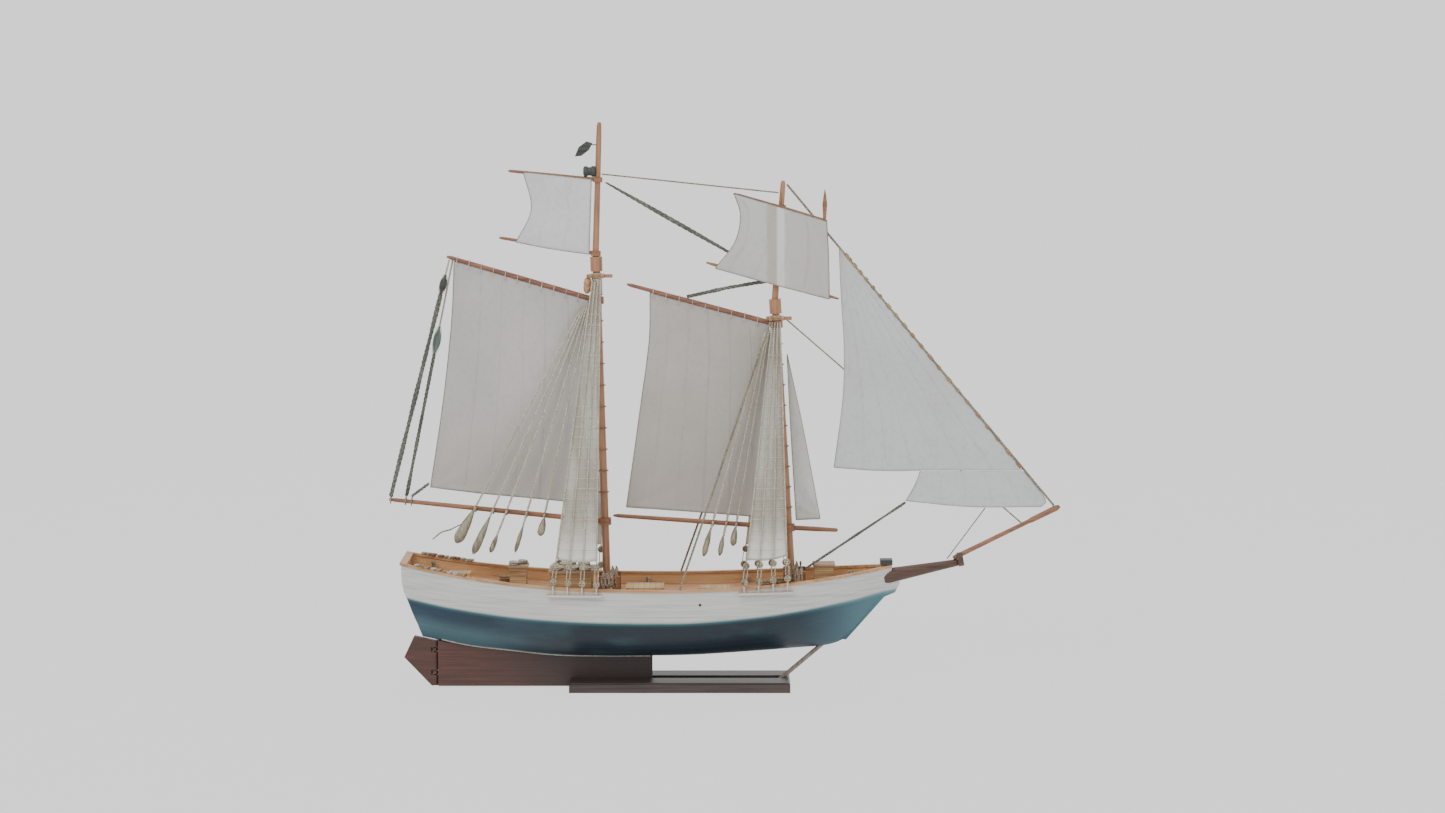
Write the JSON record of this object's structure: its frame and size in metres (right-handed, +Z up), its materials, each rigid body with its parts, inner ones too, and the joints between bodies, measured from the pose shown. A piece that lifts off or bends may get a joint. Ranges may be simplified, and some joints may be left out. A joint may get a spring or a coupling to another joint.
{
  "type": "model sailing ship",
  "caption": "Two-masted model sailing ship with gaff sails, topsails and a jib, on a flat display board; booms, topsail yards and rudder turn.",
  "frame": {"origin": "centre of the display board's underside, on the surface it stands on", "axes": "+X to the bow, +Z up, starboard is -Y"},
  "size_m": [0.6062, 0.1226, 0.5106],
  "materials": {
    "hull_paint": "satin paint, white above and teal below",
    "bulwark_paint": "satin white paint",
    "rail_wood": "varnished",
    "deck_wood": "varnished planks",
    "house_wood": "varnished",
    "keel_wood": "stained reddish brown",
    "board_wood": "stained dark brown",
    "spar_wood": "oiled orange brown",
    "bowsprit_wood": "stained dark brown",
    "fitting_wood": "plain",
    "dark_fitting": "dark stain",
    "sailcloth": "plain cotton weave",
    "rope": "twisted cotton",
    "brass": "dull"
  },
  "bodies": {
    "ship": {"hull": "hull_paint", "stem": "bulwark_paint", "bulwark_starboard": "bulwark_paint", "bulwark_port": "bulwark_paint", "transom_board": "bulwark_paint", "cap_rail_starboard": "rail_wood", "cap_rail_port": "rail_wood", "deck": "deck_wood", "bow_block": "dark_fitting", "companions": "house_wood", "main_cabin": "house_wood", "house_roofs": "rail_wood", "deck_hatches": "house_wood", "pin_rails": "spar_wood", "belaying_pins": "fitting_wood", "bollards": "fitting_wood", "keel": "keel_wood", "base_board": "board_wood", "bow_strut": "bowsprit_wood", "keel_screws": "brass", "rudder_gudgeons": "brass", "bowsprit": "bowsprit_wood", "bowsprit_cap": "bowsprit_wood", "jib_boom": "spar_wood", "main_lower_mast": "spar_wood", "main_topmast": "spar_wood", "fore_lower_mast": "spar_wood", "fore_topmast": "spar_wood", "mast_caps": "spar_wood", "crosstrees": "spar_wood", "mast_coats": "rope", "channels": "bulwark_paint", "deadeyes": "fitting_wood", "shrouds": "rope", "ratlines": "rope", "stays": "rope", "jib_lines": "rope", "jib": "sailcloth", "jib_bonnet": "sailcloth"},
    "rudder": {"rudder_blade": "keel_wood", "rudder_pintles": "brass"},
    "main_rig": {"main_boom": "spar_wood", "main_gaff": "spar_wood", "main_collars": "spar_wood", "mainsail": "sailcloth", "main_lifts": "rope", "main_blocks": "fitting_wood"},
    "fore_rig": {"fore_boom": "spar_wood", "fore_gaff": "spar_wood", "fore_collars": "spar_wood", "foresail": "sailcloth", "fore_staysail": "sailcloth", "fore_lifts": "rope", "fore_blocks": "fitting_wood"},
    "main_topsail_rig": {"main_topsail_parrels": "spar_wood", "main_topsail_yards": "spar_wood", "main_topsail": "sailcloth"},
    "fore_topsail_rig": {"fore_topsail_parrels": "spar_wood", "fore_topsail_yards": "spar_wood", "fore_topsail": "sailcloth"}
  },
  "joints": [
    {"name": "rudder_swing", "type": "hinge", "parent": "ship", "child": "rudder", "pos_m": [-0.223, 0, 0.02], "axis": [0, 0, 1], "range_deg": [-30, 30]},
    {"name": "main_boom_swing", "type": "hinge", "parent": "ship", "child": "main_rig", "pos_m": [-0.06809, 0, 0.1514], "axis": [-0.0301, 0, 0.9995], "range_deg": [-12, 12]},
    {"name": "fore_boom_swing", "type": "hinge", "parent": "ship", "child": "fore_rig", "pos_m": [0.09775, 0, 0.1456], "axis": [-0.0615, 0, 0.9981], "range_deg": [-12, 12]},
    {"name": "main_topsail_swing", "type": "hinge", "parent": "ship", "child": "main_topsail_rig", "pos_m": [-0.07561, 0, 0.3935], "axis": [0.0308, 0, 0.9995], "range_deg": [-10, 10]},
    {"name": "fore_topsail_swing", "type": "hinge", "parent": "ship", "child": "fore_topsail_rig", "pos_m": [0.08615, 0, 0.369], "axis": [0.0674, 0, 0.9977], "range_deg": [-10, 4]}
  ]
}
